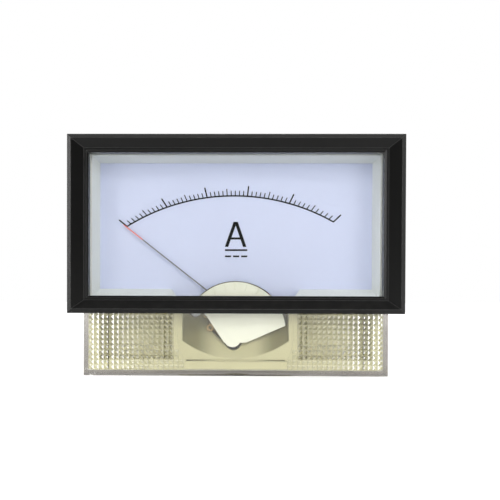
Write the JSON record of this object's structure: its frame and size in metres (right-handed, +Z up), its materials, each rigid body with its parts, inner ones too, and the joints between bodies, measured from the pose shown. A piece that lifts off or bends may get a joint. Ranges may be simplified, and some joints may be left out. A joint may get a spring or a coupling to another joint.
{
  "type": "analog panel meter",
  "caption": "Flush panel meter with a bevelled black bezel, clear textured front cover, printed dial, moving coil pointer and a round barrel with threaded terminals.",
  "frame": {"origin": "centre of the four mounting studs, on the barrel's axis, in the plane of the flange's back face that rests on the panel", "axes": "+X to the right as seen from the front, +Y into the panel along the barrel, +Z up; the dial faces -Y"},
  "size_m": [0.1, 0.06, 0.072],
  "materials": {
    "bezel_black": "satin",
    "clear_cover": "clear",
    "cream_housing": "satin",
    "surround_white": "matte",
    "dial_white": "matte",
    "ink_black": "matte",
    "shield_cream": "satin",
    "aluminium": "satin",
    "steel": "satin",
    "magnet_grey": "matte",
    "brass": "satin",
    "copper_wire": "satin",
    "pointer_paint": "satin",
    "bronze": "satin",
    "adjuster_black": "satin",
    "manganin": "satin",
    "lead_red": "satin",
    "tinned": "satin"
  },
  "bodies": {
    "case": {"bezel_frame": "bezel_black", "front_cover": "clear_cover", "housing": "cream_housing", "dial_surround": "surround_white", "dial_plate": "dial_white", "scale_marks": "ink_black", "movement_cover": "shield_cream", "movement_frame": "aluminium", "frame_screws": "steel", "pole_left": "steel", "pole_right": "steel", "magnet": "magnet_grey", "core": "steel", "core_bracket": "brass", "clamp_plate": "aluminium", "clamp_screws": "steel", "front_bridge": "brass", "rear_bridge": "brass", "bridge_screws": "steel", "front_jewel_screw": "brass", "rear_jewel_screw": "brass", "jewel_nuts": "brass", "front_hairspring": "bronze", "rear_hairspring": "bronze", "shunt": "manganin", "coil_leads": "lead_red", "terminal_studs": "brass", "clamp_washers": "tinned", "clamp_nuts": "brass", "terminal_washers": "tinned", "spring_washers": "steel", "terminal_nuts": "brass", "mounting_studs": "steel"},
    "moving_coil": {"coil_former": "aluminium", "coil_winding": "copper_wire", "front_staff": "steel", "rear_staff": "steel", "pointer": "pointer_paint", "balance_weight": "brass"},
    "zero_lever": {"zero_lever": "brass"},
    "zero_adjuster": {"zero_adjuster": "adjuster_black"}
  },
  "joints": [
    {"name": "pointer_swing", "type": "hinge", "parent": "case", "child": "moving_coil", "pos_m": [0, 0, -0.0136], "axis": [0, 1, 0], "range_deg": [-2, 101], "stiffness_Nm_per_rad": 0.00002},
    {"name": "zero_adjust_turn", "type": "hinge", "parent": "case", "child": "zero_adjuster", "pos_m": [-0.00066, 0, -0.0226], "axis": [0, 1, 0], "range_deg": [-50, 50]},
    {"name": "zero_lever_turn", "type": "hinge", "parent": "case", "child": "zero_lever", "pos_m": [0, 0, -0.0136], "axis": [0, 1, 0], "range_deg": [-5.4, 5.4]}
  ],
  "couplings": [
    {"joint": "zero_lever_turn", "follows": "zero_adjust_turn", "ratio": -0.1041}
  ]
}
